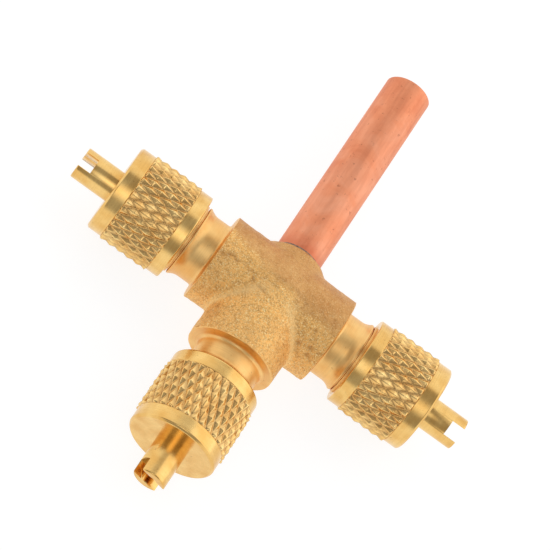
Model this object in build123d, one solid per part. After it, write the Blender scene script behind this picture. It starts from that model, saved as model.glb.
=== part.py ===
from build123d import *
import os
from math import cos, sin, pi, radians, tan

# Refrigerant service valve: a forged brass tee with three flare access ports,
# a valve core in each port, a screwed knurled cap with a core key on each port,
# and a copper tube stub brazed into the back.
#
# Frame: mm, +Z up, origin at the middle of the bounding box's floor. The valve
# lies flat on its three caps. The side ports point along -X and +X, the front
# port along -Y, and the tube along +Y.

# ---------------------------------------------------------------- dimensions
# forged body
ARM_R = 6.67            # radius of the forged arms
SIDE_ARM_END = 9.90     # crossing to the datum of the side ports
FRONT_ARM_END = 10.70   # crossing to the datum of the front port
SIDE_SHOULDER = 10.15   # crossing to the machined shoulder, side ports
FRONT_SHOULDER = 11.30  # crossing to the machined shoulder, front port
ARM_CHAMFER = 0.16      # machined rim on each arm
BOSS_R0 = 6.20          # tapered tube boss, radius at its root
BOSS_ROOT = 2.50        # crossing to where the boss has that radius
BOSS_R1 = 4.75          # tube boss radius at its rim
BOSS_END = 6.90         # crossing to the boss rim

# machined port, measured from its datum
NECK_R = 4.93           # plain neck between shoulder and thread
NECK_FILLET = 0.55
FLARE_LIP_AT = 3.95     # where the neck has widened to the thread lip
FLARE_LIP_RUN = 0.95
THREAD_R = 5.45         # 7/16-20 UNF outside thread, drawn as a plain cylinder
RUNOUT_AT = 4.15        # thread run-out groove
RUNOUT_W = 0.22
RUNOUT_D = 0.28
THREAD_END = 11.60      # where the 45 degree flare cone starts
NOSE_R = 3.30           # radius of the flare cone's small end
MOUTH_R = 2.95          # counterbore in the nose
MOUTH_DEPTH = 1.50
CORE_BORE_R = 2.65      # bore for the core's threaded head
CORE_SEAT_TOP = 8.60    # cone on which the core's seal seats
CORE_SEAT_BOT = 6.70
PASSAGE_R = 1.95        # gas passages

# cap, measured from the port's datum
CAP_AT = 4.70           # rear face of the cap
CAP_R = 6.71            # plain bands
KNURL_R = 7.00          # over the knurl
BAND_REAR = 2.00
KNURL_L = 7.80
BAND_OUT = 2.35
CAP_CHAMFER = 0.30
CAP_BORE_R = 5.50       # inside thread, drawn as a plain bore
CAP_RELIEF_R = 5.70     # thread relief
CAP_RELIEF_AT = 12.10
CAP_BORE_END = 15.00
STEM_R = 2.40           # core key
STEM_L = 5.90
STEM_BORE_R = 1.20
STEM_BORE_L = 5.00
SLOT_W = 2.25
SLOT_D = 2.05
STEM_CHAMFER = 0.15

# cap gasket
SEAL_R = 5.44
SEAL_HOLE_R = 2.60
SEAL_AT = 13.77
SEAL_T = 1.20

# valve core, measured from the port's datum
PLUG_R = 2.60
PLUG_TOP = 11.70
PLUG_BOT = 8.75
PLUG_TANG_L = 1.30
PLUG_TANG_W = 2.05
PLUG_HOLE_R = 0.80
BARREL_TOP = 8.70
BARREL_BOT = 4.70
BARREL_R0 = 2.30
BARREL_R1 = 1.75
BARREL_BORE_R = 1.25
BARREL_FLOOR = 5.50
BARREL_SEAL_AT = 6.95
BARREL_SEAL_L = 1.25
BARREL_GROOVE_R = 1.75
PIN_R = 0.55
PIN_TIP = 13.10
PIN_END = 3.05
PIN_COLLAR_R = 1.05
PIN_COLLAR_AT = 8.10
PIN_COLLAR_T = 0.35
PIN_CUP_R = 1.60
PIN_CUP_T = 0.75
SEAT_R = 1.52
SEAT_T = 0.80
SPRING_WIRE_R = 0.11
SPRING_R = 0.88
SPRING_TURNS = 4.5

# copper tube stub and its brazing
TUBE_R = 3.50
TUBE_WALL = 0.75
TUBE_END = 40.50        # crossing to the open end
TUBE_START = 3.60
SIZED_R = 3.30          # the tube's end is sized down to enter the boss
SOCKET_R = 3.33
SOCKET_END = 3.50
BRAZE_LEG = 0.75        # brazing along the tube, past the boss rim
BRAZE_OUT = 0.62        # brazing across the boss rim

# slot direction of each core key, degrees about the port axis from +Z
SLOT_LEFT = -11.0
SLOT_RIGHT = 28.0
SLOT_FRONT = 70.0

CROSS_Y = -(TUBE_END - (FRONT_ARM_END + CAP_AT + BAND_REAR + KNURL_L + BAND_OUT + STEM_L)) / 2.0
CROSS_Z = KNURL_R


# ---------------------------------------------------------------- helpers
def turned(points):
    """Solid of revolution about local +Z from (radius, height) corners."""
    with BuildPart() as p:
        with BuildSketch(Plane.XZ):
            with BuildLine():
                Polyline(*[(r, z) for r, z in points], close=True)
            make_face()
        revolve(axis=Axis.Z)
    return p.part


def rod(r, z0, z1):
    return Pos(0, 0, z0) * Cylinder(r, z1 - z0, align=(Align.CENTER, Align.CENTER, Align.MIN))


def place(solid, way):
    """Put a solid drawn along local +Z on a port axis. Local +X lands on the
    row's +Z for the side ports, and on the row's +Z for the front port."""
    if way == "right":
        loc = Plane(origin=(0, CROSS_Y, CROSS_Z), x_dir=(0, 0, 1), z_dir=(1, 0, 0))
    elif way == "left":
        loc = Plane(origin=(0, CROSS_Y, CROSS_Z), x_dir=(0, 0, 1), z_dir=(-1, 0, 0))
    elif way == "front":
        loc = Plane(origin=(0, CROSS_Y, CROSS_Z), x_dir=(0, 0, 1), z_dir=(0, -1, 0))
    else:
        loc = Plane(origin=(0, CROSS_Y, CROSS_Z), x_dir=(0, 0, 1), z_dir=(0, 1, 0))
    return loc.location * solid


ARM_END = {"left": SIDE_ARM_END, "right": SIDE_ARM_END, "front": FRONT_ARM_END}
SHOULDER = {"left": SIDE_SHOULDER, "right": SIDE_SHOULDER, "front": FRONT_SHOULDER}
SLOT = {"left": SLOT_LEFT, "right": SLOT_RIGHT, "front": SLOT_FRONT}


def port_outside(end, sh):
    """Forged arm, machined shoulder, neck, thread and flare cone."""
    pts = [(0, 0), (ARM_R, 0), (ARM_R, sh - ARM_CHAMFER), (ARM_R - ARM_CHAMFER, sh)]
    pts += [(NECK_R + NECK_FILLET, sh)]
    for i in range(1, 6):
        a = radians(90 * i / 5)
        pts.append((NECK_R + NECK_FILLET - NECK_FILLET * sin(a),
                    sh + NECK_FILLET - NECK_FILLET * cos(a)))
    f0 = end + FLARE_LIP_AT - FLARE_LIP_RUN
    f1 = end + FLARE_LIP_AT
    for i in range(0, 6):
        t = i / 5
        pts.append((NECK_R + (THREAD_R - NECK_R) * t ** 1.8, f0 + (f1 - f0) * t))
    g0 = end + RUNOUT_AT
    pts += [(THREAD_R, g0), (THREAD_R - RUNOUT_D, g0 + 0.05),
            (THREAD_R - RUNOUT_D, g0 + RUNOUT_W - 0.05), (THREAD_R, g0 + RUNOUT_W)]
    pts += [(THREAD_R, end + THREAD_END),
            (NOSE_R, end + THREAD_END + (THREAD_R - NOSE_R)),
            (0, end + THREAD_END + (THREAD_R - NOSE_R))]
    return turned(pts)


def port_inside(end):
    """Counterbore, core thread, seal cone and gas passage."""
    top = end + THREAD_END + (THREAD_R - NOSE_R)
    pts = [(0, 0), (PASSAGE_R, 0), (PASSAGE_R, end + CORE_SEAT_BOT),
           (CORE_BORE_R, end + CORE_SEAT_TOP), (CORE_BORE_R, top - MOUTH_DEPTH),
           (MOUTH_R, top - MOUTH_DEPTH + 0.3), (MOUTH_R, top + 0.5), (0, top + 0.5)]
    return turned(pts)


# ---------------------------------------------------------------- body
def make_body():
    shell = None
    for way in ("left", "right", "front"):
        s = place(port_outside(ARM_END[way], SHOULDER[way]), way)
        shell = s if shell is None else shell + s
    boss = turned([(0, 0), (BOSS_R0, 0), (BOSS_R0, BOSS_ROOT), (BOSS_R1, BOSS_END - 0.3),
                   (BOSS_R1 - 0.3, BOSS_END), (0, BOSS_END)])
    shell = shell + place(boss, "back")
    for way in ("left", "right", "front"):
        shell = shell - place(port_inside(ARM_END[way]), way)
    socket = turned([(0, 0), (PASSAGE_R, 0), (PASSAGE_R, SOCKET_END), (SOCKET_R, SOCKET_END),
                     (SOCKET_R, BOSS_END + 1), (0, BOSS_END + 1)])
    return shell - place(socket, "back")


# ---------------------------------------------------------------- tube and braze
def make_tube():
    t = rod(SIZED_R, TUBE_START, TUBE_END - 1) + rod(TUBE_R, BOSS_END + BRAZE_LEG, TUBE_END)
    t = t - rod(TUBE_R - TUBE_WALL, TUBE_START - 1, TUBE_END + 1)
    edge = [e for e in t.edges().filter_by(GeomType.CIRCLE) if abs(e.center().Z - TUBE_END) < 1e-6]
    return place(chamfer(edge, 0.12), "back")


def make_braze():
    b = turned([(SIZED_R, BOSS_END), (TUBE_R + BRAZE_OUT, BOSS_END), (TUBE_R + 0.28, BOSS_END + 0.22),
                (TUBE_R + 0.08, BOSS_END + 0.48), (TUBE_R, BOSS_END + BRAZE_LEG), (SIZED_R, BOSS_END + BRAZE_LEG)])
    return place(b, "back")


# ---------------------------------------------------------------- caps
def make_cap(way):
    e = ARM_END[way]
    rear = e + CAP_AT
    k0, k1 = rear + BAND_REAR, rear + BAND_REAR + KNURL_L
    face = k1 + BAND_OUT
    tip = face + STEM_L
    c, d = CAP_CHAMFER, KNURL_R - CAP_R
    out = turned([(0, rear), (CAP_R - 0.2, rear), (CAP_R, rear + 0.2), (CAP_R, k0), (KNURL_R, k0 + d),
                  (KNURL_R, k1 - d), (CAP_R, k1), (CAP_R, face - c), (CAP_R - c, face),
                  (STEM_R, face), (STEM_R, tip - STEM_CHAMFER), (STEM_R - STEM_CHAMFER, tip), (0, tip)])
    bore = turned([(0, rear - 1), (CAP_BORE_R + 0.35, rear - 1), (CAP_BORE_R + 0.35, rear),
                   (CAP_BORE_R, rear + 0.35), (CAP_BORE_R, e + CAP_RELIEF_AT),
                   (CAP_RELIEF_R, e + CAP_RELIEF_AT + 0.2), (CAP_RELIEF_R, e + CAP_BORE_END - 1.35),
                   (CAP_BORE_R, e + CAP_BORE_END - 1.15), (CAP_BORE_R, e + CAP_BORE_END),
                   (0, e + CAP_BORE_END)])
    key = turned([(0, tip - STEM_BORE_L - 0.5), (STEM_BORE_R, tip - STEM_BORE_L),
                  (STEM_BORE_R, tip + 1), (0, tip + 1)])
    slot = Pos(0, 0, tip - SLOT_D) * Box(20, SLOT_W, SLOT_D + 1, align=(Align.CENTER, Align.CENTER, Align.MIN))
    cap = out - bore - key - Rot(0, 0, SLOT[way]) * slot
    return place(cap, way)


def make_cap_seal(way):
    e = ARM_END[way]
    z0, z1 = e + SEAL_AT, e + SEAL_AT + SEAL_T
    return place(turned([(SEAL_HOLE_R, z0), (SEAL_R - 0.15, z0), (SEAL_R, z0 + 0.15), (SEAL_R, z1 - 0.1),
                         (SEAL_R - 0.1, z1), (SEAL_HOLE_R, z1)]), way)


# ---------------------------------------------------------------- valve core
def make_plug(way):
    e = ARM_END[way]
    p = turned([(PLUG_HOLE_R, e + PLUG_BOT), (PLUG_R - 0.2, e + PLUG_BOT), (PLUG_R, e + PLUG_BOT + 0.2),
                (PLUG_R, e + PLUG_TOP - 0.15), (PLUG_R - 0.15, e + PLUG_TOP), (PLUG_HOLE_R, e + PLUG_TOP)])
    for s in (-1, 1):
        p = p - Pos(0, s * (PLUG_TANG_W / 2 + 2.5), e + PLUG_TOP - PLUG_TANG_L) * Box(
            12, 5, PLUG_TANG_L + 1, align=(Align.CENTER, Align.CENTER, Align.MIN))
        # gas ways past the head
        p = p - Pos(s * 1.75, 0, e + PLUG_BOT - 1) * Cylinder(
            0.42, 8, align=(Align.CENTER, Align.CENTER, Align.MIN))
    return place(p, way)


def make_barrel(way):
    e = ARM_END[way]
    g0, g1 = BARREL_SEAL_AT, BARREL_SEAL_AT + BARREL_SEAL_L
    b = turned([(PIN_R + 0.2, e + BARREL_BOT), (BARREL_R1 - 0.55, e + BARREL_BOT),
                (BARREL_R1 - 0.4, e + BARREL_BOT + 0.3), (BARREL_R1, e + BARREL_BOT + 0.7),
                (BARREL_R1, e + g0 - 0.25), (BARREL_R1 + 0.1, e + g0), (BARREL_GROOVE_R, e + g0 + 0.02),
                (BARREL_GROOVE_R, e + g1), (BARREL_R0, e + g1), (BARREL_R0, e + BARREL_TOP),
                (BARREL_BORE_R, e + BARREL_TOP), (BARREL_BORE_R, e + BARREL_FLOOR),
                (PIN_R + 0.2, e + BARREL_FLOOR)])
    return place(b, way)


def make_barrel_seal(way):
    e = ARM_END[way]
    g0, g1 = BARREL_SEAL_AT + 0.05, BARREL_SEAL_AT + BARREL_SEAL_L - 0.02
    k = (CORE_BORE_R - PASSAGE_R) / (CORE_SEAT_TOP - CORE_SEAT_BOT)
    r0 = PASSAGE_R + k * (g0 - CORE_SEAT_BOT) - 0.03
    r1 = PASSAGE_R + k * (g1 - CORE_SEAT_BOT) - 0.03
    s = turned([(BARREL_GROOVE_R + 0.01, e + g0), (r0, e + g0), (r1, e + g1), (BARREL_GROOVE_R + 0.01, e + g1)])
    return place(s, way)


def make_pin(way):
    e = ARM_END[way]
    c0, c1 = PIN_COLLAR_AT, PIN_COLLAR_AT + PIN_COLLAR_T
    seat_bot = BARREL_BOT - SEAT_T - 0.01
    return place(turned([(0, e + PIN_END), (PIN_R, e + PIN_END), (PIN_R, e + seat_bot - PIN_CUP_T),
                         (PIN_CUP_R, e + seat_bot - PIN_CUP_T + 0.15), (PIN_CUP_R, e + seat_bot - 0.01),
                         (PIN_R, e + seat_bot - 0.01), (PIN_R, e + c0), (PIN_COLLAR_R, e + c0),
                         (PIN_COLLAR_R, e + c1), (PIN_R, e + c1), (PIN_R, e + PIN_TIP - 0.2),
                         (PIN_R - 0.2, e + PIN_TIP), (0, e + PIN_TIP)]), way)


def make_seat(way):
    e = ARM_END[way]
    z1 = BARREL_BOT - 0.01
    return place(turned([(PIN_R + 0.01, e + z1 - SEAT_T), (SEAT_R, e + z1 - SEAT_T),
                         (SEAT_R, e + z1 - 0.1), (SEAT_R - 0.1, e + z1), (PIN_R + 0.01, e + z1)]), way)


def make_spring(way):
    e = ARM_END[way]
    z0 = e + BARREL_FLOOR + SPRING_WIRE_R + 0.02
    z1 = e + PIN_COLLAR_AT - SPRING_WIRE_R - 0.02
    h = z1 - z0
    path = Pos(0, 0, z0) * Helix(pitch=h / SPRING_TURNS, height=h, radius=SPRING_R)
    start = path @ 0
    prof = Plane(origin=start, z_dir=path % 0) * Circle(SPRING_WIRE_R)
    return place(sweep(prof, path=path, is_frenet=True), way)


parts = {
    "valve_body": make_body(),
    "copper_stub": make_tube(),
    "braze_fillet": make_braze(),
}
for way in ("left", "right", "front"):
    parts["cap_" + way] = make_cap(way)
    parts["cap_seal_" + way] = make_cap_seal(way)
    parts["core_plug_" + way] = make_plug(way)
    parts["core_barrel_" + way] = make_barrel(way)
    parts["core_barrel_seal_" + way] = make_barrel_seal(way)
    parts["core_pin_" + way] = make_pin(way)
    parts["core_seat_" + way] = make_seat(way)
    parts["core_spring_" + way] = make_spring(way)

os.makedirs("parts", exist_ok=True)
for name, solid in parts.items():
    export_step(solid, "parts/" + name + ".step")
    bb = solid.bounding_box()
    print(name, [round(v, 3) for v in (bb.min.X, bb.min.Y, bb.min.Z, bb.max.X, bb.max.Y, bb.max.Z)],
          round(solid.volume, 2), len(solid.solids()))
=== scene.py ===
import bpy
import bmesh
import math
import numpy as np
from mathutils import Matrix, Vector


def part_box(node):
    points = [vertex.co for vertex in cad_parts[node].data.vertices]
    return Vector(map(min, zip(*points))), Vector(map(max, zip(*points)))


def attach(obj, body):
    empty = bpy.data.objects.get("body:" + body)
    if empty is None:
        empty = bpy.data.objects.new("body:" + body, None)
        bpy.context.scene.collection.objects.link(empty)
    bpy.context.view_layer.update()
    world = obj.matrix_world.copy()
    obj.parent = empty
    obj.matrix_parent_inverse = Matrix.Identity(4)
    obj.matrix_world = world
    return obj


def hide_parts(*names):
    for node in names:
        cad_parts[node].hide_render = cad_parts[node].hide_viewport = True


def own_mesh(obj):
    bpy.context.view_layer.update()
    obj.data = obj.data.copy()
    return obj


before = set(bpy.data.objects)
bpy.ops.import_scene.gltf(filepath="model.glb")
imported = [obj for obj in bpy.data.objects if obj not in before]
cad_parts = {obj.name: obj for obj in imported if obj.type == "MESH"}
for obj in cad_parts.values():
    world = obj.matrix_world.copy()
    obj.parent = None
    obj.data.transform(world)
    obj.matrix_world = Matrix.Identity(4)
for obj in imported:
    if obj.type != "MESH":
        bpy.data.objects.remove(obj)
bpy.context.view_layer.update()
MM = 0.001

# ------------------------------------------------------------------ where things are
WAYS = ("left", "right", "front")
c_lo, c_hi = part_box("cap_left")
CY = (c_lo[1] + c_hi[1]) / 2 / MM
CZ = (c_lo[2] + c_hi[2]) / 2 / MM
CROSS = np.array([0.0, CY, CZ])
OUT = {"right": (1, 0, 0), "left": (-1, 0, 0), "front": (0, -1, 0), "back": (0, 1, 0)}


def basis(way):
    """Local +Z out along the port, local +X up."""
    z = np.array(OUT[way], float)
    x = np.array([0.0, 0.0, 1.0])
    return x, np.cross(z, x), z


def reach(node, way):
    """Distances from the crossing, along a port's axis, of a node's near and far end, in mm."""
    lo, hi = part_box(node)
    z = np.array(OUT[way], float)
    a = float(np.dot(np.array(lo) / MM - CROSS, z))
    b = float(np.dot(np.array(hi) / MM - CROSS, z))
    return min(a, b), max(a, b)


CAP0, CAP1 = {}, {}
for w in WAYS:
    CAP0[w], CAP1[w] = reach("cap_" + w, w)
STEM_L, CAP_GAP = 5.90, 4.70
END = {w: CAP0[w] - CAP_GAP for w in WAYS}       # datum of each port
SHOULDER = {w: END[w] + (0.60 if w == "front" else 0.25) for w in WAYS}
PITCH = 1.27
ARM_R, NECK_R, THREAD_R, THREAD_DEPTH = 6.67, 4.93, 5.45, 0.62
CAP_R, KNURL_R = 6.71, 7.00
SLOT = {"left": -11.0, "right": 28.0, "front": 70.0}

rng = np.random.RandomState(7)
LATTICE = rng.rand(48, 48, 48)


def vnoise(p, scale, shift=0.0):
    """Smooth value noise, 0 to 1, at points p in mm, with blobs of that scale in mm."""
    q = np.asarray(p) / scale + 100.0 + shift
    i = np.floor(q).astype(int)
    f = q - i
    f = f * f * (3 - 2 * f)
    out = 0
    for a in (0, 1):
        for b in (0, 1):
            for c in (0, 1):
                wgt = ((f[..., 0] if a else 1 - f[..., 0]) * (f[..., 1] if b else 1 - f[..., 1])
                       * (f[..., 2] if c else 1 - f[..., 2]))
                out = out + wgt * LATTICE[(i[..., 0] + a) % 48, (i[..., 1] + b) % 48, (i[..., 2] + c) % 48]
    return out


def srgb(r, g, b):
    """Display colour, 0 to 255, as linear light."""
    v = np.array([r, g, b]) / 255.0
    v = np.where(v <= 0.04045, v / 12.92, ((v + 0.055) / 1.055) ** 2.4)
    return (float(v[0]), float(v[1]), float(v[2]), 1.0)


# ------------------------------------------------------------------ mesh helpers
def make_object(name, verts, faces, body, mats=None, face_mats=None, sharp=35.0, smooth=True):
    me = bpy.data.meshes.new(name)
    me.from_pydata((np.asarray(verts) * MM).tolist(), [], [list(map(int, f)) for f in faces])
    me.validate()
    for m in mats or []:
        me.materials.append(m)
    if face_mats is not None and len(face_mats) == len(me.polygons):
        me.polygons.foreach_set("material_index", np.asarray(face_mats, np.int32))
    if smooth:
        me.polygons.foreach_set("use_smooth", np.ones(len(me.polygons), bool))
        me.set_sharp_from_angle(angle=math.radians(sharp))
    me.update()
    ob = bpy.data.objects.new(name, me)
    bpy.context.scene.collection.objects.link(ob)
    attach(ob, body)
    return ob


def held(rows, eps=0.05):
    """Extra rows close to both ends of every long straight run, so that its shading stays flat."""
    out = []
    for i, (r, z, tag) in enumerate(rows):
        out.append((r, z, tag))
        if i + 1 == len(rows):
            break
        r2, z2, tag2 = rows[i + 1]
        d = math.hypot(r2 - r, z2 - z)
        if d > 0.24 and "knurl" not in (tag, tag2) and "thread" not in (tag, tag2):
            for k in (eps / d, 1 - eps / d):
                out.append((r + (r2 - r) * k, z + (z2 - z) * k, tag))
    return out


def lathe(rows, n, shape=None, close=True):
    """Turned mesh. rows are (radius, height, tag); shape(theta, r, z, tag) may change the radius.
    The rows run round a closed section, so the mesh is a closed ring."""
    th = np.linspace(0, 2 * math.pi, n, endpoint=False)
    V = []
    for r, z, tag in rows:
        rr = np.full(n, float(r))
        if shape is not None and tag:
            rr = shape(th, rr, z, tag)
        V.append(np.stack([rr * np.cos(th), rr * np.sin(th), np.full(n, float(z))], -1))
    V = np.concatenate(V)
    m = len(rows)
    a = np.arange(n)
    b = (a + 1) % n
    F = []
    for i in range(m if close else m - 1):
        j = (i + 1) % m
        F.append(np.stack([i * n + a, i * n + b, j * n + b, j * n + a], -1))
    return V, np.concatenate(F)


def to_row(v, way):
    x, y, z = basis(way)
    v = np.asarray(v)
    return CROSS + v[:, :1] * x + v[:, 1:2] * y + v[:, 2:3] * z


def tri_wave(t):
    """1 at whole numbers, 0 half way between."""
    return np.abs(2 * (t - np.floor(t)) - 1)


def thread_r(th, z):
    """Radius of the outside thread's surface: right-handed, 20 threads an inch."""
    t = tri_wave(z / PITCH - th / (2 * math.pi))
    return THREAD_R - THREAD_DEPTH * (1 - np.clip((t - 0.12) / 0.76, 0, 1))


# ------------------------------------------------------------------ materials
class Nodes:
    def __init__(self, name):
        self.mat = bpy.data.materials.new(name)
        self.mat.use_nodes = True
        self.nt = self.mat.node_tree
        self.bsdf = next(n for n in self.nt.nodes if n.type == "BSDF_PRINCIPLED")
        self.out = next(n for n in self.nt.nodes if n.type == "OUTPUT_MATERIAL")

    def add(self, kind, **settings):
        n = self.nt.nodes.new(kind)
        for k, v in settings.items():
            setattr(n, k, v)
        return n

    def link(self, a, b):
        self.nt.links.new(a, b)

    def coords(self):
        return self.add("ShaderNodeTexCoord").outputs["Object"]

    def scaled(self, vec, sx, sy, sz, loc=(0, 0, 0)):
        m = self.add("ShaderNodeMapping")
        m.inputs["Scale"].default_value = (sx, sy, sz)
        m.inputs["Location"].default_value = loc
        self.link(vec, m.inputs["Vector"])
        return m.outputs["Vector"]

    def noise(self, vec, scale, detail=2.0, rough=0.5, distortion=0.0):
        n = self.add("ShaderNodeTexNoise")
        n.inputs["Scale"].default_value = scale
        n.inputs["Detail"].default_value = detail
        n.inputs["Roughness"].default_value = rough
        n.inputs["Distortion"].default_value = distortion
        self.link(vec, n.inputs["Vector"])
        return n.outputs["Fac"]

    def ramp(self, fac, stops):
        r = self.add("ShaderNodeValToRGB")
        el = r.color_ramp.elements
        el[0].position, el[0].color = stops[0]
        el[1].position, el[1].color = stops[-1]
        for p, c in stops[1:-1]:
            e = el.new(p)
            e.color = c
        self.link(fac, r.inputs["Fac"])
        return r.outputs["Color"]

    def maprange(self, fac, a, b, c, d):
        m = self.add("ShaderNodeMapRange")
        for k, v in zip(("From Min", "From Max", "To Min", "To Max"), (a, b, c, d)):
            m.inputs[k].default_value = v
        self.link(fac, m.inputs["Value"])
        return m.outputs["Result"]

    def math(self, op, a, b=None):
        m = self.add("ShaderNodeMath", operation=op)
        for i, v in enumerate((a, b)):
            if v is None:
                continue
            if isinstance(v, (int, float)):
                m.inputs[i].default_value = v
            else:
                self.link(v, m.inputs[i])
        return m.outputs[0]

    def mix(self, fac, a, b, blend="MIX"):
        m = self.add("ShaderNodeMix", data_type="RGBA", blend_type=blend)
        for sock, v in ((m.inputs[0], fac), (m.inputs[6], a), (m.inputs[7], b)):
            if isinstance(v, (int, float, tuple)):
                sock.default_value = v
            else:
                self.link(v, sock)
        return m.outputs[2]

    def bump(self, height, strength, distance, normal=None):
        b = self.add("ShaderNodeBump")
        b.inputs["Strength"].default_value = strength
        b.inputs["Distance"].default_value = distance
        self.link(height, b.inputs["Height"])
        if normal is not None:
            self.link(normal, b.inputs["Normal"])
        return b.outputs["Normal"]


def grey(v):
    return (v, v, v, 1.0)


def forged_brass():
    m = Nodes("forged_brass_blasted")
    co = m.coords()
    big = m.noise(co, 260, 3, 0.55)
    mid = m.noise(co, 1500, 3, 0.65)
    fine = m.noise(co, 4300, 2, 0.6)
    painted_glint_noise = m.noise(m.scaled(co, 1, 1, 1, (0.3, 0.1, 0.7)), 5600, 1, 0.5)
    coarse = m.add("ShaderNodeAttribute", attribute_name="coarse").outputs["Fac"]
    dark = m.add("ShaderNodeAttribute", attribute_name="dark").outputs["Fac"]
    painted_crease_highlight = m.add("ShaderNodeAttribute", attribute_name="painted_crease_highlight").outputs["Fac"]
    base = m.ramp(big, [(0.30, srgb(202, 147, 90)), (0.5, srgb(214, 162, 101)), (0.72, srgb(224, 175, 113))])
    base = m.mix(coarse, base, srgb(254, 204, 124))
    base = m.mix(m.maprange(mid, 0.38, 0.54, 0.42, 0.0), base, srgb(184, 124, 66))
    pits = m.math("MULTIPLY", m.maprange(fine, 0.34, 0.46, 0.55, 0.0), m.math("ADD", m.math("MULTIPLY", coarse, 0.75), 0.25))
    base = m.mix(pits, base, srgb(166, 108, 52))
    # painted glints: small bright specks mixed into the base colour, stronger where the skin is coarse
    sp = m.math("MULTIPLY", m.maprange(painted_glint_noise, 0.54, 0.64, 0.0, 1.0), m.math("ADD", m.math("MULTIPLY", coarse, 0.62), 0.25))
    base = m.mix(sp, base, srgb(255, 232, 176))
    # painted highlight: lighter base colour along the fillets where the front arm meets the side arms
    base = m.mix(m.math("MULTIPLY", painted_crease_highlight, 0.55), base, srgb(250, 214, 152))
    # painted shade: darker base colour in the lap's fold and in the dents
    base = m.mix(m.math("MULTIPLY", dark, 0.8), base, srgb(158, 100, 50))
    m.link(base, m.bsdf.inputs["Base Color"])
    m.bsdf.inputs["Metallic"].default_value = 1.0
    m.link(m.math("ADD", m.maprange(mid, 0.3, 0.7, 0.42, 0.58), m.math("MULTIPLY", coarse, 0.12)), m.bsdf.inputs["Roughness"])
    n1 = m.bump(mid, 0.7, 0.00016)
    n2 = m.bump(fine, 0.9, 0.00011, n1)
    m.link(n2, m.bsdf.inputs["Normal"])
    return m.mat


def turned_brass(name, axis, center, light=(247, 206, 130), dark=(231, 181, 102), rough=(0.13, 0.24), lines=0.30,
                 ring=26000.0):
    """Turned metal: fine rings about the axis, on the sides and on the end faces."""
    m = Nodes(name)
    co = m.coords()
    mp = m.add("ShaderNodeMapping")
    mp.inputs["Location"].default_value = tuple(-c for c in center)
    m.link(co, mp.inputs["Vector"])
    sep = m.add("ShaderNodeSeparateXYZ")
    m.link(mp.outputs["Vector"], sep.inputs[0])
    ax = {"X": 0, "Y": 1}[axis]
    along = sep.outputs[ax]
    across = [sep.outputs[i] for i in range(3) if i != ax]
    rad = m.math("SQRT", m.math("ADD", m.math("MULTIPLY", across[0], across[0]),
                                m.math("MULTIPLY", across[1], across[1])))
    comb = m.add("ShaderNodeCombineXYZ")
    m.link(m.math("MULTIPLY", along, ring), comb.inputs[0])
    m.link(m.math("MULTIPLY", rad, ring), comb.inputs[1])
    m.link(m.math("MULTIPLY", across[0], 160.0), comb.inputs[2])
    rings = m.noise(comb.outputs[0], 1.0, 2, 0.55)
    patch = m.noise(co, 420, 2, 0.5)
    base = m.ramp(patch, [(0.33, srgb(*dark)), (0.66, srgb(*light))])
    base = m.mix(m.maprange(rings, 0.35, 0.62, 0.16, 0.0), base, srgb(150, 104, 50))
    specks = m.noise(m.scaled(co, 1, 1, 1, (0.2, 0.5, 0.1)), 2600, 2, 0.5)
    base = m.mix(m.maprange(specks, 0.68, 0.76, 0.0, 0.35), base, srgb(140, 92, 50))
    m.link(base, m.bsdf.inputs["Base Color"])
    m.bsdf.inputs["Metallic"].default_value = 1.0
    m.link(m.maprange(m.math("ADD", rings, patch), 0.7, 1.3, rough[0], rough[1]), m.bsdf.inputs["Roughness"])
    m.link(m.bump(rings, lines, 0.000012), m.bsdf.inputs["Normal"])
    return m.mat


def knurl_brass(name):
    m = Nodes(name)
    co = m.coords()
    patch = m.noise(co, 500, 2, 0.5)
    fine = m.noise(co, 5200, 3, 0.6)
    deep = m.add("ShaderNodeAttribute", attribute_name="deep").outputs["Fac"]
    base = m.ramp(patch, [(0.33, srgb(240, 190, 114)), (0.66, srgb(253, 216, 144))])
    base = m.mix(m.maprange(fine, 0.36, 0.5, 0.20, 0.0), base, srgb(150, 102, 52))
    # painted shade: the knurl's grooves darker with their depth
    base = m.mix(m.maprange(m.math("ADD", deep, m.math("MULTIPLY", fine, 0.5)), 0.55, 1.15, 0.0, 0.50), base, srgb(150, 100, 52))
    m.link(base, m.bsdf.inputs["Base Color"])
    m.bsdf.inputs["Metallic"].default_value = 1.0
    m.link(m.maprange(fine, 0.3, 0.7, 0.09, 0.22), m.bsdf.inputs["Roughness"])
    m.link(m.bump(fine, 0.40, 0.00006), m.bsdf.inputs["Normal"])
    return m.mat


def copper():
    m = Nodes("annealed_copper")
    co = m.coords()
    cloud = m.noise(co, 170, 4, 0.6, 0.6)
    streak = m.noise(m.scaled(co, 1, 0.12, 1), 1500, 2, 0.5)
    speck = m.noise(co, 1350, 3, 0.6)
    fine = m.noise(co, 4200, 2, 0.5)
    base = m.ramp(cloud, [(0.28, srgb(222, 132, 94)), (0.48, srgb(238, 156, 116)), (0.70, srgb(247, 178, 142))])
    base = m.mix(m.maprange(streak, 0.35, 0.62, 0.18, 0.0), base, srgb(176, 92, 66))
    base = m.mix(m.maprange(speck, 0.63, 0.72, 0.0, 0.42), base, srgb(140, 74, 54))
    # heat-darkened near the brazed foot
    lo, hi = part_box("braze_fillet")
    sep = m.add("ShaderNodeSeparateXYZ")
    m.link(co, sep.inputs[0])
    foot = m.maprange(m.math("ADD", sep.outputs[1], m.math("MULTIPLY", cloud, 0.003)),
                      hi[1] + 0.0012, hi[1] + 0.0042, 0.42, 0.0)
    base = m.mix(foot, base, srgb(196, 96, 68))
    m.link(base, m.bsdf.inputs["Base Color"])
    m.bsdf.inputs["Metallic"].default_value = 1.0
    m.link(m.maprange(cloud, 0.3, 0.7, 0.44, 0.60), m.bsdf.inputs["Roughness"])
    n1 = m.bump(streak, 0.20, 0.00004)
    n2 = m.bump(fine, 0.20, 0.00003, n1)
    m.link(n2, m.bsdf.inputs["Normal"])
    return m.mat


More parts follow.
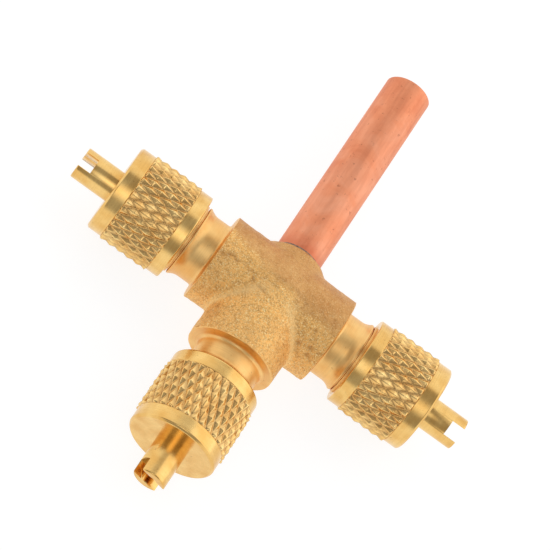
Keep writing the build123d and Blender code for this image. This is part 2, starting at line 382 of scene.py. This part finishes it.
def braze():
    m = Nodes("dull_braze")
    co = m.coords()
    a = m.noise(co, 1500, 3, 0.6)
    base = m.ramp(a, [(0.32, srgb(86, 74, 66)), (0.5, srgb(126, 112, 98)), (0.68, srgb(170, 148, 120))])
    m.link(base, m.bsdf.inputs["Base Color"])
    m.bsdf.inputs["Metallic"].default_value = 0.85
    m.link(m.maprange(a, 0.3, 0.7, 0.34, 0.6), m.bsdf.inputs["Roughness"])
    m.link(m.bump(a, 0.5, 0.00008), m.bsdf.inputs["Normal"])
    return m.mat


def plain(name, c0, c1, metallic, r0, r1, scale, bump=0.25, dist=0.00003):
    m = Nodes(name)
    co = m.coords()
    a = m.noise(co, scale, 3, 0.6)
    m.link(m.ramp(a, [(0.33, srgb(*c0)), (0.67, srgb(*c1))]), m.bsdf.inputs["Base Color"])
    m.bsdf.inputs["Metallic"].default_value = metallic
    m.link(m.maprange(a, 0.3, 0.7, r0, r1), m.bsdf.inputs["Roughness"])
    m.link(m.bump(a, bump, dist), m.bsdf.inputs["Normal"])
    return m.mat


CM = tuple(float(v) * MM for v in CROSS)
mat_forged = forged_brass()
mat_port = {w: turned_brass("machined_port_" + w, "Y" if w == "front" else "X", CM,
                            light=(252, 208, 136), dark=(240, 184, 110), rough=(0.32, 0.44), lines=0.40, ring=15000.0)
            for w in WAYS}
mat_cap = {w: turned_brass("turned_cap_" + w, "Y" if w == "front" else "X", CM) for w in WAYS}
mat_knurl = knurl_brass("knurled_cap")
mat_copper = copper()
mat_braze = braze()
mat_rubber = plain("gasket_rubber", (24, 24, 25), (42, 42, 43), 0.0, 0.55, 0.75, 2400)
mat_seat = plain("seat_rubber", (20, 20, 22), (36, 36, 38), 0.0, 0.5, 0.7, 3800)
mat_ptfe = plain("ptfe_ring", (222, 222, 214), (238, 238, 232), 0.0, 0.35, 0.5, 2600, 0.15)
mat_core = plain("core_brass", (214, 170, 100), (236, 196, 128), 1.0, 0.2, 0.34, 2800)
mat_pin = plain("pin_brass", (208, 166, 102), (232, 192, 126), 1.0, 0.18, 0.3, 3600)
mat_spring = plain("spring_steel", (168, 168, 172), (206, 206, 210), 1.0, 0.2, 0.34, 5200)


# ------------------------------------------------------------------ the forging
def smin(a, b, k):
    h = np.clip(0.5 + 0.5 * (b - a) / k, 0, 1)
    return b * (1 - h) + a * h - k * h * (1 - h)


def rounded(q0, q1, r):
    """Distance to a rounded corner made by two half spaces."""
    a, b = q0 + r, q1 + r
    return np.minimum(np.maximum(a, b), 0) + np.hypot(np.maximum(a, 0), np.maximum(b, 0)) - r


LAND = 0.42
LAP = np.array([[-10.4, -1.9], [-8.2, -1.5], [-5.7, -1.1], [-4.2, -1.7], [-2.9, -2.8], [-1.3, -3.1]])


def lap_distance(x, y):
    """Distance from the forging lap's line, seen from above, and the side of it."""
    best = np.full(x.shape, 1e9)
    for (x0, y0), (x1, y1) in zip(LAP[:-1], LAP[1:]):
        dx, dy = x1 - x0, y1 - y0
        t = np.clip(((x - x0) * dx + (y - y0) * dy) / (dx * dx + dy * dy), 0, 1)
        best = np.minimum(best, np.hypot(x - x0 - t * dx, y - y0 - t * dy))
    return best


def arms(p):
    x, y, z = p[:, 0], p[:, 1], p[:, 2]
    side = rounded(np.hypot(y, z) - ARM_R, np.abs(x) - (SHOULDER["left"] - LAND), 0.10)
    fl = SHOULDER["front"] - LAND
    front = rounded(np.hypot(x, z) - (ARM_R - 0.02), np.abs(y + fl / 2) - fl / 2, 0.10)
    return side, front


DENTS = np.array([[6.2, -5.2, 4.2], [8.2, -5.6, 3.6], [2.7, -4.4, 5.2], [7.2, -3.0, 5.95], [7.9, -4.9, 4.5]])


def skin(p):
    """How far the forged skin lies below its true form, in mm."""
    z = p[:, 2]
    w = p + 0.9 * (vnoise(p, 0.9)[:, None] - 0.5)
    top = np.clip((z - 4.0) / 1.5, 0, 1)
    d = 0.10 * top * np.exp(-(lap_distance(w[:, 0], w[:, 1]) / 0.24) ** 2)
    d = d + 0.10 * top * rough_side(w)
    d = d + 0.18 * (vnoise(p, 3.6, 5.0) - 0.5)
    return d + 0.08 * (vnoise(p, 0.55, 9.0) - 0.5)


def forging(p):
    x, y, z = p[:, 0], p[:, 1], p[:, 2]
    side, front = arms(p)
    d = smin(side, front, 0.9)
    cone = (np.hypot(x, z) - (6.20 - 0.345 * (y - 2.5))) * 0.945
    boss = rounded(cone, np.maximum(y - 6.9, -y), 0.40)
    d = smin(d, boss, 0.6)
    d = d + skin(p)
    d = -smin(-d, -(np.abs(z) - 6.94), 0.15)
    for c in DENTS:
        d = d + 0.14 * np.exp(-np.sum((p - c) ** 2, 1) / 0.12)
    hole = rounded(np.hypot(x, z) - 3.34, 3.45 - y, 0.05)
    gas = rounded(np.hypot(x, z) - 1.95, -y, 0.05)
    return np.maximum(d, -np.minimum(hole, gas))


def rough_side(w):
    m = np.clip((-1.2 - w[:, 1] - 0.25 * w[:, 0]) / 0.6, 0, 1) * np.clip((w[:, 0] + 10) / 1.0, 0, 1)
    return m * np.clip((1.0 - w[:, 0]) / 2.0, 0, 1)


def surface_nets(f, lo, hi, h):
    ax = [np.arange(lo[i], hi[i] + h, h) for i in range(3)]
    G = np.stack(np.meshgrid(*ax, indexing="ij"), -1)
    D = f(G.reshape(-1, 3)).reshape(G.shape[:3])
    ins = D < 0
    nx, ny, nz = D.shape
    s = np.zeros((nx - 1, ny - 1, nz - 1), int)
    for i in (0, 1):
        for j in (0, 1):
            for k in (0, 1):
                s += ins[i:nx - 1 + i, j:ny - 1 + j, k:nz - 1 + k]
    act = (s > 0) & (s < 8)
    idx = -np.ones(act.shape, int)
    idx[act] = np.arange(act.sum())
    V = np.array(lo) + (np.argwhere(act) + 0.5) * h
    F = []
    for axis in range(3):
        o = [1, 1, 1]
        o[axis] = 0
        a = ins[o[0]:nx - 1, o[1]:ny - 1, o[2]:nz - 1]
        up = [0, 0, 0]
        up[axis] = 1
        b = ins[o[0] + up[0]:nx - 1 + up[0], o[1] + up[1]:ny - 1 + up[1], o[2] + up[2]:nz - 1 + up[2]]
        for first in (True, False):
            e = np.argwhere((a & ~b) if first else (~a & b)) + np.array(o)
            u, v = [(1, 2), (2, 0), (0, 1)][axis]
            eu, ev = np.eye(3, dtype=int)[u], np.eye(3, dtype=int)[v]
            q = [e - eu - ev, e - ev, e, e - eu]
            ids = np.stack([idx[c[:, 0], c[:, 1], c[:, 2]] for c in q], -1)
            F.append(ids if first else ids[:, ::-1])
    return V, np.concatenate(F)


def project(f, V, steps=4, e=0.02):
    for _ in range(steps):
        d = f(V)
        g = np.stack([(f(V + e * np.eye(3)[i]) - f(V - e * np.eye(3)[i])) / (2 * e) for i in range(3)], -1)
        n = np.maximum(np.sum(g * g, 1), 0.15)
        V = V - np.clip(d / n, -0.2, 0.2)[:, None] * g
    return V


def relax(V, F):
    acc = np.zeros_like(V)
    cnt = np.zeros(len(V))
    for i in range(4):
        for j in (1, 3):
            np.add.at(acc, F[:, i], V[F[:, (i + j) % 4]])
            np.add.at(cnt, F[:, i], 1)
    return 0.5 * V + 0.5 * acc / np.maximum(cnt, 1)[:, None]


H = 0.21
V, F = surface_nets(forging, (-10.4, -11.5, -7.3), (10.4, 7.5, 7.3), H)
V = project(forging, V, 3)
V = relax(V, F)
V = project(forging, V, 3)
body = make_object("forged_body", V + CROSS, F, "valve", [mat_forged], sharp=60)


def mark_skin(ob, P):
    """Where the forged skin is rough, where it gets painted shade along the lap and in the dents, and where it gets a
    painted highlight along the fillet creases, for its material.
    """
    wob = P + 0.9 * (vnoise(P, 0.9)[:, None] - 0.5)
    side, front = arms(P)
    topm = np.clip((P[:, 2] - 3.4) / 1.5, 0, 1)
    # painted shade along the lap's fold and in the dents
    dark = 0.55 * topm * np.exp(-(lap_distance(wob[:, 0], wob[:, 1]) / 0.26) ** 2) * np.clip(vnoise(P, 0.8, 2.0) * 1.6 - 0.2, 0, 1)
    for c in DENTS:
        dark = np.maximum(dark, 0.7 * np.exp(-np.sum((P - c) ** 2, 1) / 0.10))
    both = np.clip((np.minimum(-P[:, 1] - 1.0, 3.0)) / 2.0, 0, 1)
    # painted highlight along the fillet creases between the front arm and the side arms
    painted_crease_highlight = np.exp(-((side - front) / 0.42) ** 2) * both
    coarse = np.clip((0.2 - wob[:, 1] - 0.25 * wob[:, 0]) / 1.6, 0, 1) * (0.6 + 0.4 * vnoise(P, 2.2, 4.0))
    coarse = np.maximum(coarse, 0.8 * np.clip((wob[:, 0] - 3.0) / 2.0, 0, 1) * np.clip((-wob[:, 1] - 1.0) / 1.5, 0, 1))
    for name, val in (("dark", dark), ("painted_crease_highlight", painted_crease_highlight), ("coarse", coarse)):
        at = ob.data.attributes.new(name, "FLOAT", "POINT")
        at.data.foreach_set("value", np.clip(val, 0, 1).astype(np.float32))


mark_skin(body, V)
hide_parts("valve_body")


# ------------------------------------------------------------------ machined ports
def port_rows(e, s, k=0.0):
    """Machined end of an arm: land, rim, shoulder, neck, lip, groove, thread, nose, bore."""
    rows = [(6.20, s - 0.80, "")] + [(ARM_R, s - k, "land") for k in (0.66, 0.55, 0.44, 0.33, 0.23, 0.15, 0.10)]
    rows += [(ARM_R - 0.16, s - 0.01, ""), (ARM_R - 0.20, s, "")]
    r = 0.52
    rows.append((NECK_R + r + 0.05, s, ""))
    for i in range(0, 11):
        a = math.radians(90 * i / 10)
        rows.append((NECK_R + r - r * math.sin(a), s + r - r * math.cos(a), ""))
    f0 = max(e + 2.45 + 1.8 * k, s + r + 0.5)
    for i in range(1, 5):
        rows.append((NECK_R, s + r + (f0 - s - r) * i / 4, ""))
    f1 = e + 3.85 + k
    for i in range(1, 11):
        t = i / 10
        rows.append((NECK_R + (THREAD_R - 0.03 - NECK_R) * t ** 2.1, f0 + (f1 - f0) * t, ""))
    g = e + 4.15 + k
    rows += [(THREAD_R, e + 3.89 + k, ""), (THREAD_R, g - 0.06, ""), (THREAD_R - 0.05, g, ""),
             (THREAD_R - 0.48, g + 0.04, ""), (THREAD_R - 0.48, g + 0.18, ""), (THREAD_R - 0.04, g + 0.22, ""),
             (THREAD_R, g + 0.26, ""), (THREAD_R, g + 0.34, "")]
    rows = rows[:8] + held(rows[8:], 0.04)
    z = g + 0.45
    top = e + 11.60 + (THREAD_R - 3.30)
    while z < e + 12.6:
        rows.append((THREAD_R, z, "thread"))
        z += 0.115
    tail = [(4.30, top - 1.0, ""), (3.36, top - 0.06, ""), (3.26, top, ""), (3.02, top, ""), (2.95, top - 0.08, ""),
            (2.95, top - 1.20, ""), (2.65, top - 1.50, "")]
    z = top - 1.6
    while z > e + 8.7:
        tail.append((2.65, z, ""))
        z -= 0.4
    tail += [(2.65, e + 8.6, ""), (1.95, e + 6.7, ""), (1.95, e + 3.0, ""), (1.95, s - 0.6, ""), (1.95, s - 0.80, "")]
    return rows + held(tail, 0.04)


for w in WAYS:
    e = END[w]

    def outside(th, r, z, tag, e=e, w=w):
        if tag == "land":
            r0 = ARM_R - (0.02 if w == "front" else 0.0)
            p = to_row(np.stack([r0 * np.cos(th), r0 * np.sin(th), np.full_like(th, z)], -1), w) - CROSS
            return r0 - skin(p)
        fade = np.clip((z - (e + 4.9)) / 0.8, 0, 1)
        rr = THREAD_R - fade * (THREAD_R - thread_r(th, z))
        cone = THREAD_R - (z - (e + 11.60))
        return np.minimum(rr, cone)

    V, F = lathe(port_rows(e, SHOULDER[w], 0.5 if w == "front" else 0.0), 160, outside)
    fm = np.zeros(len(F), int)
    fm[:160 * 7] = 1
    ob = make_object("machined_port_" + w, to_row(V, w), F, "valve", [mat_port[w], mat_forged], fm, sharp=38)
    mark_skin(ob, to_row(V, w) - CROSS)
    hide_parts("valve_body")

# ------------------------------------------------------------------ braze ring
lo_b, hi_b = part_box("braze_fillet")
b1 = hi_b[1] / MM - CY
rows = [(3.302, b1 - 0.75), (4.10, b1 - 0.75), (4.06, b1 - 0.66), (3.84, b1 - 0.52), (3.68, b1 - 0.34), (3.57, b1 - 0.14),
        (3.505, b1), (3.302, b1)]


def wavy(th, r, z, tag):
    p = np.stack([6 * np.cos(th), 6 * np.sin(th), np.full_like(th, z * 2)], -1)
    return r + 0.20 * (vnoise(p, 1.3, 3.0) - 0.6) * (r > 3.52)


V, F = lathe([(r, z, "x") for r, z in rows], 120, wavy)
ring = make_object("braze_ring", to_row(V, "back"), F, "valve", [mat_braze], sharp=50)
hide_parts("braze_fillet")


# ------------------------------------------------------------------ caps
N_KN, KN_LEN, KN_DEPTH = 32, 3.0, 0.47
N_ROUND = N_KN * 12


def knurl_shape(th, z, z0):
    a = N_KN * th / (2 * math.pi)
    ha = 1 - tri_wave(a + (z - z0) / KN_LEN)
    hb = 1 - tri_wave(a - (z - z0) / KN_LEN)
    da = KN_DEPTH * (1 - np.clip(ha / 0.93, 0, 1))
    db = 0.88 * KN_DEPTH * (1 - np.clip(hb / 0.93, 0, 1))
    return KNURL_R - 0.01 - np.maximum(da, db)


def cap_mesh(w):
    e, rear = END[w], CAP0[w]
    tip = CAP1[w]
    face = tip - STEM_L
    k0, k1 = rear + 2.0, rear + 9.8
    rows = [(5.85, rear, "t"), (6.52, rear, "t"), (6.63, rear + 0.04, "t"), (6.70, rear + 0.14, "t"), (CAP_R, rear + 0.22, "t"),
            (CAP_R, k0 - 0.06, "t"), (CAP_R - 0.02, k0 - 0.02, "t")]
    rows = held(rows)
    n = int(round((k1 - k0) / 0.13))
    for i in range(n + 1):
        rows.append((KNURL_R, k0 + (k1 - k0) * i / n, "knurl"))
    tail = [(CAP_R - 0.02, k1 + 0.02, "t"), (CAP_R, k1 + 0.06, "t"), (CAP_R, face - 0.34, "t"), (CAP_R - 0.04, face - 0.26, "t"),
            (CAP_R - 0.26, face - 0.04, "t"), (CAP_R - 0.34, face, "t"), (CAP_R - 0.8, face, "t"), (4.6, face, "t"), (3.4, face, "t"),
            (2.5, face, "t"), (1.3, face, "t"), (0.02, face, "t"),
            (0.02, e + 15.0, "i"), (2.5, e + 15.0, "i"), (5.50, e + 15.0, "i"), (5.50, e + 13.85, "i"), (5.70, e + 13.65, "i"),
            (5.70, e + 12.3, "i")]
    rows += held(tail)
    z = e + 12.1
    while z > rear + 0.45:
        rows.append((5.5, z, "thread"))
        z -= 0.13
    rows += [(5.62, rear + 0.3, "i")]
    tags = [r[2] for r in rows]
    mats = [1 if tags[i] == "knurl" and tags[(i + 1) % len(tags)] == "knurl" else 0 for i in range(len(tags))]

    def shape(th, r, z, tag):
        if tag == "knurl":
            rr = knurl_shape(th, z, k0)
            edge = np.clip(np.minimum(z - k0, k1 - z) / 0.12, 0, 1)
            return np.minimum(rr, (CAP_R - 0.05) + edge * 0.5)
        if tag == "thread":
            ri = thread_r(th, z) + 0.07
            out = np.clip((z - (e + 11.6)) / 0.5, 0, 1)
            return ri + out * (5.6 - ri)
        return r

    V, F = lathe(rows, N_ROUND, shape)
    fm = np.repeat(np.array(mats), N_ROUND)
    return V, F, fm, face, tip


def key_mesh(w, face, tip):
    """The slotted, drilled core key, as a bmesh in the port's own frame, in mm."""
    n = 96
    z0 = face - 0.25
    rows = [(0.02, z0), (2.40, z0), (2.40, face + 0.02), (2.40, tip - 1.0), (2.40, tip - 0.17), (2.36, tip - 0.06), (2.26, tip),
            (1.30, tip), (1.20, tip - 0.10), (1.20, tip - 5.0), (0.02, tip - 5.4)]
    V, F = lathe(held([(r, z, "") for r, z in rows]), n)
    me = bpy.data.meshes.new("key_raw_" + w)
    me.from_pydata(V.tolist(), [], F.tolist())
    key = bpy.data.objects.new("key_raw_" + w, me)
    bpy.context.scene.collection.objects.link(key)
    bm = bmesh.new()
    bmesh.ops.create_cube(bm, size=1.0)
    bmesh.ops.scale(bm, vec=(8.0, 2.25, 4.0), verts=bm.verts)
    bmesh.ops.translate(bm, vec=(0, 0, tip - 2.05 + 2.0), verts=bm.verts)
    bmesh.ops.rotate(bm, cent=(0, 0, 0), matrix=Matrix.Rotation(math.radians(SLOT[w]), 3, "Z"), verts=bm.verts)
    cm = bpy.data.meshes.new("cut")
    bm.to_mesh(cm)
    bm.free()
    cut = bpy.data.objects.new("cut", cm)
    bpy.context.scene.collection.objects.link(cut)
    bo = key.modifiers.new("slot", "BOOLEAN")
    bo.operation, bo.object, bo.solver = "DIFFERENCE", cut, "EXACT"
    bv = key.modifiers.new("edges", "BEVEL")
    bv.width, bv.segments, bv.limit_method, bv.angle_limit = 0.07, 2, "ANGLE", math.radians(50)
    dg = bpy.context.evaluated_depsgraph_get()
    done = bpy.data.meshes.new_from_object(key.evaluated_get(dg))
    for o in (key, cut):
        bpy.data.objects.remove(o, do_unlink=True)
    return done


for w in WAYS:
    V, F, fm, face, tip = cap_mesh(w)
    key = key_mesh(w, face, tip)
    kv = np.zeros(len(key.vertices) * 3)
    key.vertices.foreach_get("co", kv)
    kv = kv.reshape(-1, 3)
    faces = [tuple(f) for f in F] + [tuple(i + len(V) for i in p.vertices) for p in key.polygons]
    allv = np.concatenate([V, kv])
    fmat = np.concatenate([fm, np.zeros(len(key.polygons), int)])
    cap = make_object("knurled_cap_" + w, to_row(allv, w), faces, "cap_" + w,
                      [mat_cap[w], mat_knurl], fmat, sharp=80)
    rad = np.hypot(allv[:, 0], allv[:, 1])
    # depth into the knurl's grooves, used for the painted shade there
    deep = np.clip((KNURL_R - rad) / KN_DEPTH, 0, 1) * (rad > CAP_R - 0.6)
    at = cap.data.attributes.new("deep", "FLOAT", "POINT")
    at.data.foreach_set("value", deep.astype(np.float32))
    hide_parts("cap_" + w)


# ------------------------------------------------------------------ finishes of the pieces kept from the frame
def finish_node(node, mat):
    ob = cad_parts[node]
    ob.data.materials.clear()
    ob.data.materials.append(mat)


finish_node("copper_stub", mat_copper)
for w in WAYS:
    finish_node("cap_seal_" + w, mat_rubber)
    finish_node("core_plug_" + w, mat_core)
    finish_node("core_barrel_" + w, mat_core)
    finish_node("core_barrel_seal_" + w, mat_ptfe)
    finish_node("core_pin_" + w, mat_pin)
    finish_node("core_seat_" + w, mat_seat)
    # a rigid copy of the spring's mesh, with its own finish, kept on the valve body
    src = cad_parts["core_spring_" + w]
    me = src.data.copy()
    me.transform(src.matrix_world)
    me.materials.clear()
    me.materials.append(mat_spring)
    spring = bpy.data.objects.new("return_spring_" + w, me)
    bpy.context.scene.collection.objects.link(spring)
    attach(spring, "valve")
    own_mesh(spring)
    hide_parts("core_spring_" + w)

# ------------------------------------------------------------------ camera
AZ, EL, ROLL = math.radians(-7.635), math.radians(61.609), math.radians(42.56)
DIST, SCALE = 533.594, 7.161
OFF_X, OFF_Y = 270.008 - 275.0, 275.0 - 299.007
back = Vector((math.sin(AZ) * math.cos(EL), -math.cos(AZ) * math.cos(EL), math.sin(EL)))
right0 = Vector((math.cos(AZ), math.sin(AZ), 0))
up0 = back.cross(right0)
cr = right0 * math.cos(ROLL) + up0 * math.sin(ROLL)
cu = -right0 * math.sin(ROLL) + up0 * math.cos(ROLL)
cam = bpy.data.objects.new("camera", bpy.data.cameras.new("camera"))
bpy.context.scene.collection.objects.link(cam)
loc = Vector(CROSS.tolist()) + back * DIST - cr * (OFF_X / SCALE) - cu * (OFF_Y / SCALE)
rot = Matrix((cr, cu, back)).transposed()
cam.matrix_world = Matrix.Translation(loc * MM) @ rot.to_4x4()
cam.data.sensor_fit = "HORIZONTAL"
cam.data.sensor_width = 36.0
cam.data.lens = SCALE * DIST / 550.0 * 36.0
cam.data.clip_start, cam.data.clip_end = 0.01, 20.0
bpy.context.scene.camera = cam

# ------------------------------------------------------------------ floor
me = bpy.data.meshes.new("floor")
me.from_pydata([(-3, -3, 0), (3, -3, 0), (3, 3, 0), (-3, 3, 0)], [], [(0, 1, 2, 3)])
floor = bpy.data.objects.new("floor", me)
bpy.context.scene.collection.objects.link(floor)
fm = Nodes("pale_floor")
fm.bsdf.inputs["Base Color"].default_value = (0.22, 0.22, 0.22, 1)
fm.bsdf.inputs["Roughness"].default_value = 0.9
fm.bsdf.inputs["Specular IOR Level"].default_value = 0.0
fm.bsdf.inputs["Emission Color"].default_value = (1, 1, 1, 1)
fm.bsdf.inputs["Emission Strength"].default_value = 0.86
me.materials.append(fm.mat)

# ------------------------------------------------------------------ light: a white tent with a dark gap round the lens
world = bpy.data.worlds.new("tent")
bpy.context.scene.world = world
world.use_nodes = True
nt = world.node_tree
bg = next(n for n in nt.nodes if n.type == "BACKGROUND")
tc = nt.nodes.new("ShaderNodeTexCoord")
dot = nt.nodes.new("ShaderNodeVectorMath")
dot.operation = "DOT_PRODUCT"
nt.links.new(tc.outputs["Generated"], dot.inputs[0])
dot.inputs[1].default_value = tuple(back)
ac = nt.nodes.new("ShaderNodeMath")
ac.operation = "ARCCOSINE"
nt.links.new(dot.outputs["Value"], ac.inputs[0])
dv = nt.nodes.new("ShaderNodeMath")
dv.operation = "DIVIDE"
dv.inputs[1].default_value = math.pi
nt.links.new(ac.outputs[0], dv.inputs[0])
rp = nt.nodes.new("ShaderNodeValToRGB")
el = rp.color_ramp.elements
el[0].position, el[0].color = 0.0, grey(1.75)
el[1].position, el[1].color = 1.0, grey(1.0)
for p, v in ((8 / 180, 1.35), (17 / 180, 0.80), (24 / 180, 0.38), (50 / 180, 0.36), (57 / 180, 0.95), (75 / 180, 1.05), (110 / 180, 1.0)):
    e2 = el.new(p)
    e2.color = grey(v)
nt.links.new(dv.outputs[0], rp.inputs["Fac"])
nt.links.new(rp.outputs["Color"], bg.inputs["Color"])
bg.inputs["Strength"].default_value = 1.05

lamp = bpy.data.lights.new("soft_box", "AREA")
lamp.shape, lamp.size, lamp.energy = "DISK", 1.1, 0.9
lo_ = bpy.data.objects.new("soft_box", lamp)
bpy.context.scene.collection.objects.link(lo_)
ld = Vector((0.75, 0.35, 0.62)).normalized()
lo_.matrix_world = Matrix.Translation(ld * 0.8) @ ld.to_track_quat("Z", "Y").to_matrix().to_4x4()

bpy.context.scene.view_settings.view_transform = "Standard"
bpy.context.scene.view_settings.look = "None"
